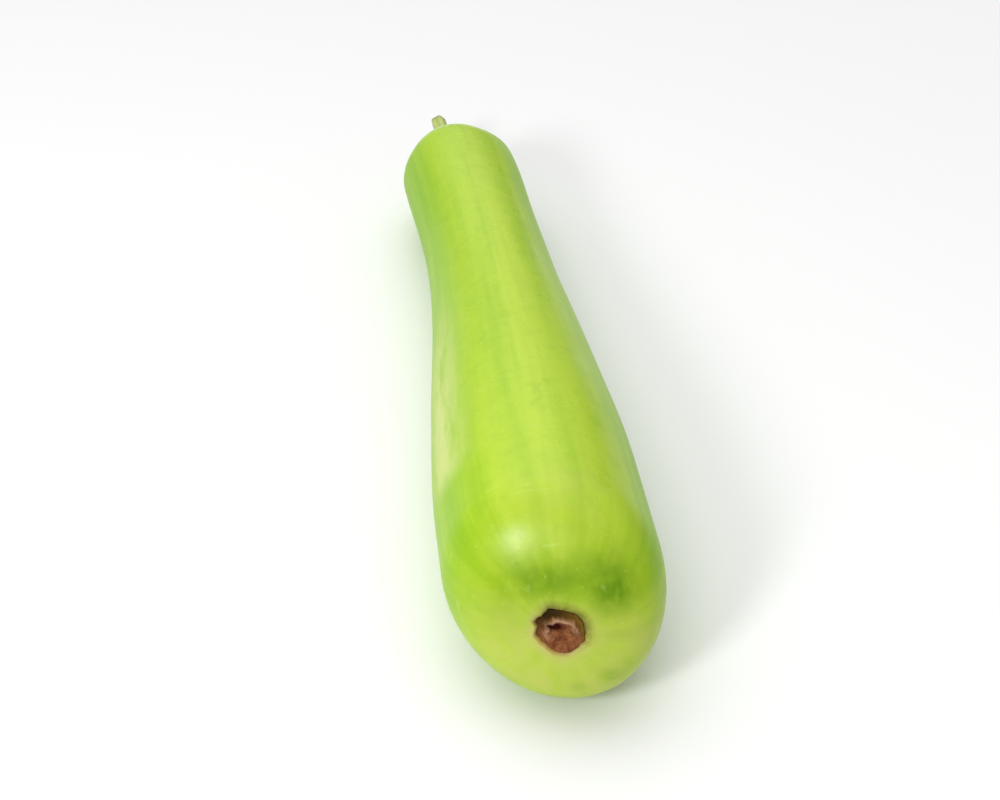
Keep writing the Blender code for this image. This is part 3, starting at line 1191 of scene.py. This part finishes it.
@dataclass(frozen=True)
class Lamp:
    """One soft area lamp, aimed at a point over the gourd."""

    name: str
    place: tuple[float, float, float]
    size: tuple[float, float]
    power: float
    aim: tuple[float, float, float] = (0.0, 0.0, 0.04)

    def build(self) -> None:
        """Adds the lamp to the scene."""
        light = bpy.data.lights.new(self.name, "AREA")
        light.shape = "RECTANGLE"
        light.size, light.size_y = self.size
        light.energy = self.power
        lamp = bpy.data.objects.new(self.name, light)
        lamp.location = self.place
        lamp.rotation_euler = (Vector(self.aim) - Vector(self.place)).to_track_quat("-Z", "Y").to_euler()
        bpy.context.scene.collection.objects.link(lamp)


@dataclass(frozen=True)
class Glow:
    """A soft white dome of light: brightest along its axis, and the narrower the higher its power."""

    axis: tuple[float, float, float]
    power: float
    strength: float


@dataclass
class Studio:
    """A plain white floor, soft light and the camera, all placed from the gourd."""

    paper: PaperFinish
    floor_size: float = 40.0
    elevation: float = 39.09
    azimuth: float = -6.26
    lens: float = 60.0
    eye_offset: tuple[float, float, float] = (-0.0725, -0.4348, 0.4724)
    sky: tuple[Glow, ...] = (
        Glow((0.0, 0.0, 1.0), 1.0, 0.605),
        Glow((-0.1, 0.6, 0.79), 4.0, 1.70),
    )
    lamps: tuple[Lamp, ...] = (
        Lamp("key_softbox", (-0.77, -0.85, 0.75), (0.25, 0.29), 6.4),
        Lamp("fill_softbox", (-0.41, -1.00, 1.01), (0.35, 0.28), 1.0),
    )

    def floor(self) -> None:
        """Lays a wide floor of matt white paper under the gourd."""
        work = bmesh.new()
        bmesh.ops.create_grid(work, x_segments=1, y_segments=1, size=0.5 * self.floor_size)
        mesh = bpy.data.meshes.new("studio_floor")
        work.to_mesh(mesh)
        work.free()
        mesh.materials.append(self.paper.material())
        floor = bpy.data.objects.new("studio_floor", mesh)
        bpy.context.scene.collection.objects.link(floor)

    def light(self) -> None:
        """Adds the lamps and a sky of soft white domes, and shows their light as it is."""
        for lamp in self.lamps:
            lamp.build()
        world = bpy.data.worlds.new("studio_sky")
        world.use_nodes = True
        tree = world.node_tree
        view = add_node(tree, "ShaderNodeTexCoord")
        total = 0.0
        for glow in self.sky:
            inputs = {0: view.outputs["Generated"], 1: glow.axis}
            along = add_node(tree, "ShaderNodeVectorMath", inputs, operation="DOT_PRODUCT")
            front = add_node(tree, "ShaderNodeMath", {0: along.outputs["Value"], 1: 0.0}, operation="MAXIMUM")
            lobe = add_node(tree, "ShaderNodeMath", {0: front.outputs[0], 1: glow.power}, operation="POWER")
            inputs = {0: lobe.outputs[0], 1: glow.strength, 2: total}
            total = add_node(tree, "ShaderNodeMath", inputs, operation="MULTIPLY_ADD").outputs[0]
        tree.links.new(total, tree.nodes["Background"].inputs["Strength"])
        tree.nodes["Background"].inputs["Color"].default_value = linear("FFFFFF")
        bpy.context.scene.world = world
        bpy.context.scene.view_settings.view_transform = "Standard"

    def camera(self, near_end: Vector) -> None:
        """Sets the camera over the blossom end, looking down along the gourd.

        Args:
            near_end: The middle of the blossom end.
        """
        turn, rise = math.radians(self.azimuth), math.radians(self.elevation)
        forward = Vector((-math.sin(turn) * math.cos(rise), math.cos(turn) * math.cos(rise), -math.sin(rise)))
        eye = bpy.data.cameras.new("camera")
        eye.lens = self.lens
        eye.clip_start = 0.01
        camera = bpy.data.objects.new("camera", eye)
        camera.location = near_end + Vector(self.eye_offset)
        camera.rotation_euler = forward.to_track_quat("-Z", "Y").to_euler()
        bpy.context.scene.collection.objects.link(camera)
        bpy.context.scene.camera = camera


def main() -> None:
    """Builds the gourd's three pieces and the studio, in order."""
    logging.basicConfig(level=logging.INFO, format="%(name)s: %(message)s")
    growth, pit = Growth(), Pit()
    lie = Lie(growth)
    makers = (
        Fruit(growth, pit, SkinFinish()),
        BlossomScar(growth, pit, CorkFinish()),
        Stalk(growth, StalkFinish()),
    )
    for maker in makers:
        piece = maker.build(lie)
        LOG.info("%s: %d faces", piece.name, len(piece.data.polygons))
    studio = Studio(PaperFinish())
    studio.floor()
    studio.light()
    studio.camera(lie.matrix @ Vector((0.0, 0.0, 0.0)))


if __name__ == "__main__":
    main()
